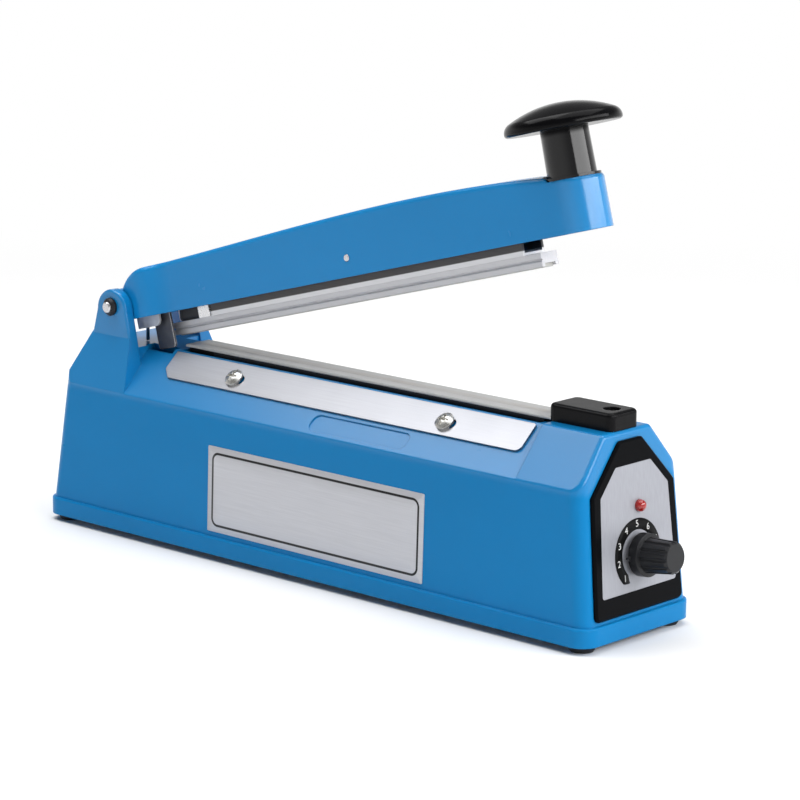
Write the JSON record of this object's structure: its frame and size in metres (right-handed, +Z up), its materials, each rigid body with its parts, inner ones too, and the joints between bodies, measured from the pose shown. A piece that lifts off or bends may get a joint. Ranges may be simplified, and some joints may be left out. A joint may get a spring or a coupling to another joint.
{
  "type": "impulse heat sealer",
  "caption": "Hand-press impulse bag sealer: blue moulded base with timer panel, sealing strip and clamp plates, and a hinged arm with a rocking press bar and mushroom knob.",
  "frame": {"origin": "on the table under the middle of the base rim", "axes": "+X towards the timer panel along the length, -Y the side shown in the picture, +Z up"},
  "size_m": [0.3352, 0.07, 0.213],
  "materials": {
    "housing_blue": "glossy moulded",
    "arm_blue": "glossy moulded",
    "knob_black": "polished",
    "cover_black": "satin",
    "bezel_black": "fine grain",
    "timer_black": "satin",
    "scale_silver": "fine brushed",
    "clamp_steel": "brushed along",
    "screw_zinc": "zinc plated",
    "rail_black": "black anodised",
    "bar_aluminium": "extruded",
    "carrier_steel": "dark oxide",
    "bright_steel": "bright",
    "striker_steel": "dark oxide",
    "pin_steel": "ground",
    "retainer_black": "black oxide",
    "silicone": "matt",
    "cloth_white": "coated weave",
    "tape_tan": "film",
    "ribbon_nichrome": "rolled",
    "terminal_brass": "machined",
    "insulator_black": "moulded",
    "lamp_red": "clear tinted",
    "plate_steel": "plain",
    "rubber_black": "matt",
    "core_iron": "laminated",
    "coil_copper": "taped winding",
    "board_green": "solder mask",
    "switch_black": "moulded",
    "spring_steel": "drawn wire"
  },
  "bodies": {
    "base": {"base_housing": "housing_blue", "bottom_plate": "plate_steel", "rubber_feet": "rubber_black", "bottom_screws": "screw_zinc", "hinge_pin": "pin_steel", "hinge_retainers": "retainer_black", "sealing_rail": "rail_black", "insulating_tape": "tape_tan", "heating_ribbon": "ribbon_nichrome", "sealing_cloth": "cloth_white", "rear_terminal": "insulator_black", "front_terminal": "terminal_brass", "terminal_cover": "cover_black", "cover_screw": "screw_zinc", "clamp_plate_near": "clamp_steel", "clamp_plate_far": "clamp_steel", "clamp_screws": "screw_zinc", "front_bezel": "bezel_black", "scale_plate": "scale_silver", "indicator_lamp": "lamp_red", "potentiometer": "bright_steel", "panel_nut": "bright_steel", "timer_board": "board_green", "timer_relay": "switch_black", "transformer_core": "core_iron", "transformer_coil": "coil_copper", "transformer_strap": "bright_steel", "strap_screws": "screw_zinc", "micro_switch": "switch_black", "switch_screws": "screw_zinc", "inlet_gland": "rubber_black", "return_spring": "spring_steel"},
    "arm": {"arm_shell": "arm_blue", "press_knob": "knob_black", "knob_screw": "screw_zinc", "hinge_bracket": "bright_steel", "bracket_screw": "screw_zinc", "switch_striker": "striker_steel", "bar_pivot_pin": "pin_steel"},
    "press_bar": {"press_bar": "bar_aluminium", "bar_carrier": "carrier_steel", "carrier_clip": "bright_steel", "silicone_strip": "silicone", "bar_screws": "screw_zinc"},
    "timer_knob": {"timer_knob": "timer_black", "timer_shaft": "pin_steel"},
    "switch_plunger": {"switch_plunger": "switch_black"}
  },
  "joints": [
    {"name": "arm_hinge", "type": "hinge", "parent": "base", "child": "arm", "pos_m": [-0.1255, 0, 0.101], "axis": [0, 1, 0], "range_deg": [0, 13.46], "stiffness_Nm_per_rad": 0.6, "springref_deg": -34.38, "deforming": ["return_spring"]},
    {"name": "bar_rock", "type": "hinge", "parent": "arm", "child": "press_bar", "pos_m": [0.00887, 0, 0.13811], "axis": [0, 1, 0], "range_deg": [0, 1.69]},
    {"name": "timer_turn", "type": "hinge", "parent": "base", "child": "timer_knob", "pos_m": [0.15509, 0, 0.03519], "axis": [0.9956, 0, 0.0941], "range_deg": [-225, 45]},
    {"name": "switch_press", "type": "slide", "parent": "base", "child": "switch_plunger", "axis": [0, 0, -1], "range_m": [0, 0.00121]}
  ],
  "couplings": [
    {"joint": "bar_rock", "follows": "arm_hinge", "ratio": 0.12522},
    {"joint": "switch_press", "follows": "arm_hinge", "m_per_rad": 0.005107}
  ]
}
